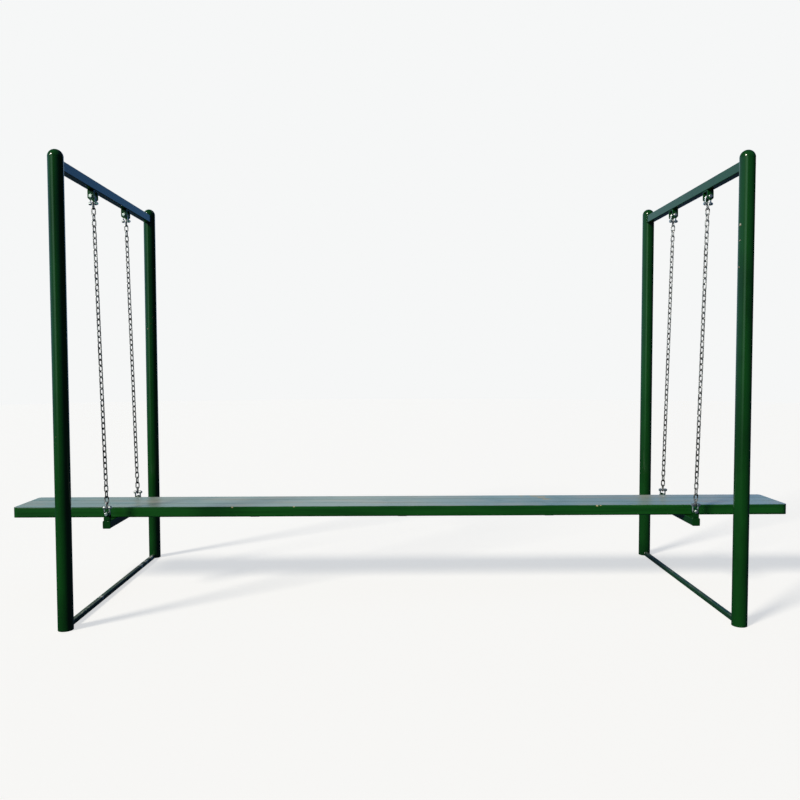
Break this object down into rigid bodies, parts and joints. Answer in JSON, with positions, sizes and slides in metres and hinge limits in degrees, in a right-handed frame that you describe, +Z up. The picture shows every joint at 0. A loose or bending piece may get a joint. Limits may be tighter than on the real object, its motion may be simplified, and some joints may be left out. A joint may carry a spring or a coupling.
{
  "type": "hanging balance platform",
  "caption": "Straight plank platform hung on chains between tubular end frames; it swings lengthwise and sideways as a balance trainer.",
  "frame": {"origin": "on the ground, under the middle of the deck", "axes": "+X along the deck to the right as pictured, +Y from the front to the back, +Z up"},
  "size_m": [5.25, 1.819, 2.8],
  "materials": {
    "green_enamel": "glossy dark green enamel",
    "painted_timber": "planks under the same glossy dark green enamel, chipped at the edges",
    "zinc": "bright zinc plating, slightly dulled"
  },
  "bodies": {
    "end_frames": {"post_left_front": "green_enamel", "post_left_back": "green_enamel", "post_right_front": "green_enamel", "post_right_back": "green_enamel", "post_cap_left_front": "green_enamel", "post_cap_left_back": "green_enamel", "post_cap_right_front": "green_enamel", "post_cap_right_back": "green_enamel", "top_beam_left": "green_enamel", "top_beam_right": "green_enamel", "ground_tie_left": "green_enamel", "ground_tie_right": "green_enamel", "hanger_bracket_left_front": "green_enamel", "hanger_bracket_left_back": "green_enamel", "hanger_bracket_right_front": "green_enamel", "hanger_bracket_right_back": "green_enamel", "hanger_bolts": "zinc", "hanger_washers": "zinc", "hanger_nuts": "zinc"},
    "top_shackle_left_front": {"top_bow_left_front": "zinc", "top_pin_left_front": "zinc"},
    "top_shackle_left_back": {"top_bow_left_back": "zinc", "top_pin_left_back": "zinc"},
    "top_shackle_right_front": {"top_bow_right_front": "zinc", "top_pin_right_front": "zinc"},
    "top_shackle_right_back": {"top_bow_right_back": "zinc", "top_pin_right_back": "zinc"},
    "hanging_chain_left_front": {"chain_left_front": "zinc"},
    "hanging_chain_left_back": {"chain_left_back": "zinc"},
    "hanging_chain_right_front": {"chain_right_front": "zinc"},
    "hanging_chain_right_back": {"chain_right_back": "zinc"},
    "low_shackle_left_front": {"low_bow_left_front": "zinc", "low_pin_left_front": "zinc"},
    "low_shackle_left_back": {"low_bow_left_back": "zinc", "low_pin_left_back": "zinc"},
    "low_shackle_right_front": {"low_bow_right_front": "zinc", "low_pin_right_front": "zinc"},
    "low_shackle_right_back": {"low_bow_right_back": "zinc", "low_pin_right_back": "zinc"},
    "platform": {"deck_plank_front": "painted_timber", "deck_plank_middle": "painted_timber", "deck_plank_back": "painted_timber", "crossbar_left": "green_enamel", "crossbar_right": "green_enamel", "crossbar_end_plates": "green_enamel", "lug_left_front": "green_enamel", "lug_left_back": "green_enamel", "lug_right_front": "green_enamel", "lug_right_back": "green_enamel", "lug_bolts": "zinc", "lug_washers": "zinc", "lug_nuts": "zinc", "deck_bolts": "green_enamel", "deck_washers": "zinc", "deck_nuts": "zinc", "deck_straps": "green_enamel", "strap_screws": "zinc"}
  },
  "joints": [
    {"name": "top_swing_left_front", "type": "hinge", "parent": "end_frames", "child": "top_shackle_left_front", "pos_m": [-2, -0.31, 2.646], "axis": [0, 1, 0], "range_deg": [-15, 15]},
    {"name": "top_swing_left_back", "type": "hinge", "parent": "end_frames", "child": "top_shackle_left_back", "pos_m": [-2, 0.31, 2.646], "axis": [0, 1, 0], "range_deg": [-15, 15]},
    {"name": "top_swing_right_front", "type": "hinge", "parent": "end_frames", "child": "top_shackle_right_front", "pos_m": [2, -0.31, 2.646], "axis": [0, 1, 0], "range_deg": [-15, 15]},
    {"name": "top_swing_right_back", "type": "hinge", "parent": "end_frames", "child": "top_shackle_right_back", "pos_m": [2, 0.31, 2.646], "axis": [0, 1, 0], "range_deg": [-15, 15]},
    {"name": "top_sway_left_front", "type": "hinge", "parent": "top_shackle_left_front", "child": "hanging_chain_left_front", "pos_m": [-1.99893, -0.31, 2.60436], "axis": [0.9997, 0, 0.0257], "range_deg": [-10, 10]},
    {"name": "top_sway_left_back", "type": "hinge", "parent": "top_shackle_left_back", "child": "hanging_chain_left_back", "pos_m": [-1.99893, 0.31, 2.60436], "axis": [0.9997, 0, 0.0257], "range_deg": [-10, 10]},
    {"name": "top_sway_right_front", "type": "hinge", "parent": "top_shackle_right_front", "child": "hanging_chain_right_front", "pos_m": [1.99893, -0.31, 2.60436], "axis": [0.9997, 0, -0.0257], "range_deg": [-10, 10]},
    {"name": "top_sway_right_back", "type": "hinge", "parent": "top_shackle_right_back", "child": "hanging_chain_right_back", "pos_m": [1.99893, 0.31, 2.60436], "axis": [0.9997, 0, -0.0257], "range_deg": [-10, 10]},
    {"name": "low_sway_left_front", "type": "hinge", "parent": "hanging_chain_left_front", "child": "low_shackle_left_front", "pos_m": [-1.94807, -0.31, 0.62257], "axis": [0.9997, 0, 0.0257], "range_deg": [-10, 10]},
    {"name": "low_swing_left_front", "type": "hinge", "parent": "low_shackle_left_front", "child": "platform", "pos_m": [-1.947, -0.31, 0.58093], "axis": [0, 1, 0], "range_deg": [-15.5, 15.5]},
    {"name": "low_swing_left_back", "type": "hinge", "parent": "platform", "child": "low_shackle_left_back", "pos_m": [-1.947, 0.31, 0.58093], "axis": [0, 1, 0], "range_deg": [-15.5, 15.5]},
    {"name": "low_swing_right_front", "type": "hinge", "parent": "platform", "child": "low_shackle_right_front", "pos_m": [1.947, -0.31, 0.58093], "axis": [0, 1, 0], "range_deg": [-15.5, 15.5]},
    {"name": "low_swing_right_back", "type": "hinge", "parent": "platform", "child": "low_shackle_right_back", "pos_m": [1.947, 0.31, 0.58093], "axis": [0, 1, 0], "range_deg": [-15.5, 15.5]}
  ],
  "couplings": [
    {"joint": "top_swing_left_back", "follows": "top_swing_left_front", "ratio": 1},
    {"joint": "top_swing_right_front", "follows": "top_swing_left_front", "ratio": 1},
    {"joint": "top_swing_right_back", "follows": "top_swing_left_front", "ratio": 1},
    {"joint": "top_sway_left_back", "follows": "top_sway_left_front", "ratio": 1},
    {"joint": "top_sway_right_front", "follows": "top_sway_left_front", "ratio": 1},
    {"joint": "top_sway_right_back", "follows": "top_sway_left_front", "ratio": 1},
    {"joint": "low_sway_left_front", "follows": "top_sway_left_front", "ratio": -1},
    {"joint": "low_swing_left_front", "follows": "top_swing_left_front", "ratio": -1.0278},
    {"joint": "low_swing_left_back", "follows": "top_swing_left_front", "ratio": 1.0278},
    {"joint": "low_swing_right_front", "follows": "top_swing_left_front", "ratio": 1.0278},
    {"joint": "low_swing_right_back", "follows": "top_swing_left_front", "ratio": 1.0278}
  ]
}
